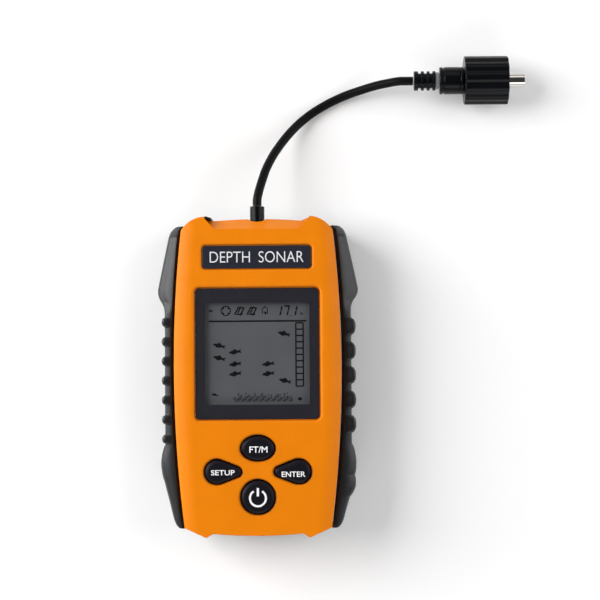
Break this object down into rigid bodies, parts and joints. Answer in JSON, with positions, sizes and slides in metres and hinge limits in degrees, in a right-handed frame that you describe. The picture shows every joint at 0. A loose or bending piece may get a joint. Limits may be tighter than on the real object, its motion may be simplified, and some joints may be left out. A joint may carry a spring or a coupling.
{
  "type": "handheld fish finder",
  "caption": "Handheld fish finder with side grips, window over an LCD, rubber keys, sliding battery door, and a short lead ending in a barrel plug with a loose coupling nut.",
  "frame": {"origin": "under the middle of the case, on the surface it lies on", "axes": "+Z out of the window, +Y towards the lead end, +X to the right as the display is read"},
  "size_m": [0.1426, 0.1848, 0.0339],
  "materials": {
    "orange_shell": "satin moulded ABS",
    "black_shell": "fine-textured ABS",
    "grip_rubber": "satin soft-touch rubber",
    "key_rubber": "matte silicone rubber",
    "seal_rubber": "matte",
    "plate_print": "dark printed label",
    "clear_window": "clear acrylic",
    "lcd_glass": "grey reflective liquid crystal panel",
    "inner_plastic": "black moulded plastic",
    "white_plastic": "milky light guide",
    "board_green": "solder mask on glass epoxy",
    "ferrite": "sintered ferrite",
    "can_aluminium": "drawn can",
    "spring_steel": "nickel-plated spring steel",
    "screw_steel": "zinc-plated steel",
    "cell_jacket": "shrink-wrapped cell",
    "red_wire": "PVC insulation",
    "black_wire": "PVC insulation",
    "lead_jacket": "satin PVC jacket",
    "plug_plastic": "semi-gloss moulded plastic",
    "sleeve_chrome": "bright nickel plating"
  },
  "bodies": {
    "case": {"front_cover": "orange_shell", "back_cover": "black_shell", "case_seal": "seal_rubber", "door_seal": "seal_rubber", "left_grip": "grip_rubber", "right_grip": "grip_rubber", "display_lens": "clear_window", "nameplate": "plate_print", "lcd_frame": "inner_plastic", "lcd_panel": "lcd_glass", "backlight": "white_plastic", "zebra_strip": "seal_rubber", "keypad_mat": "key_rubber", "ft_m_dome": "spring_steel", "setup_dome": "spring_steel", "enter_dome": "spring_steel", "power_dome": "spring_steel", "main_pcb": "board_green", "microcontroller": "inner_plastic", "driver_chip": "inner_plastic", "pulse_transformer": "ferrite", "buzzer": "inner_plastic", "capacitor": "can_aluminium", "cable_boot": "plug_plastic", "lead_tail": "lead_jacket", "lead": "lead_jacket", "plug_strain_relief": "plug_plastic", "plug_body": "plug_plastic", "plug_seal": "seal_rubber", "plug_barrel": "sleeve_chrome", "plug_insulator": "inner_plastic", "battery_wire_minus": "black_wire", "battery_wire_plus": "red_wire", "case_screw_1": "screw_steel", "board_screw_1": "screw_steel", "aaa_cell_1": "cell_jacket", "battery_spring_1": "spring_steel", "case_screw_2": "screw_steel", "board_screw_2": "screw_steel", "aaa_cell_2": "cell_jacket", "battery_spring_2": "spring_steel", "case_screw_3": "screw_steel", "board_screw_3": "screw_steel", "aaa_cell_3": "cell_jacket", "battery_spring_3": "spring_steel", "case_screw_4": "screw_steel", "board_screw_4": "screw_steel", "aaa_cell_4": "cell_jacket", "battery_spring_4": "spring_steel", "contact_lower_left": "spring_steel", "contact_lower_right": "spring_steel", "contact_upper_left": "spring_steel", "contact_upper_middle": "spring_steel", "contact_upper_right": "spring_steel"},
    "ft_m_key": {"ft_m_button": "key_rubber"},
    "setup_key": {"setup_button": "key_rubber"},
    "enter_key": {"enter_button": "key_rubber"},
    "power_key": {"power_button": "key_rubber"},
    "door": {"battery_door": "black_shell"},
    "nut": {"coupling_nut": "plug_plastic"}
  },
  "joints": [
    {"name": "ft_m_press", "type": "slide", "parent": "case", "child": "ft_m_key", "axis": [0, 0, -1], "range_m": [0, 0.001], "stiffness_N_per_m": 1500},
    {"name": "setup_press", "type": "slide", "parent": "case", "child": "setup_key", "axis": [0, 0, -1], "range_m": [0, 0.001], "stiffness_N_per_m": 1500},
    {"name": "enter_press", "type": "slide", "parent": "case", "child": "enter_key", "axis": [0, 0, -1], "range_m": [0, 0.001], "stiffness_N_per_m": 1500},
    {"name": "power_press", "type": "slide", "parent": "case", "child": "power_key", "axis": [0, 0, -1], "range_m": [0, 0.001], "stiffness_N_per_m": 1500},
    {"name": "door_slide", "type": "slide", "parent": "case", "child": "door", "axis": [0, -1, 0], "range_m": [0, 0.06]},
    {"name": "nut_turn", "type": "hinge", "parent": "case", "child": "nut", "pos_m": [0.0891, 0.1148, 0.0095], "axis": [1, 0, 0], "continuous": true}
  ]
}
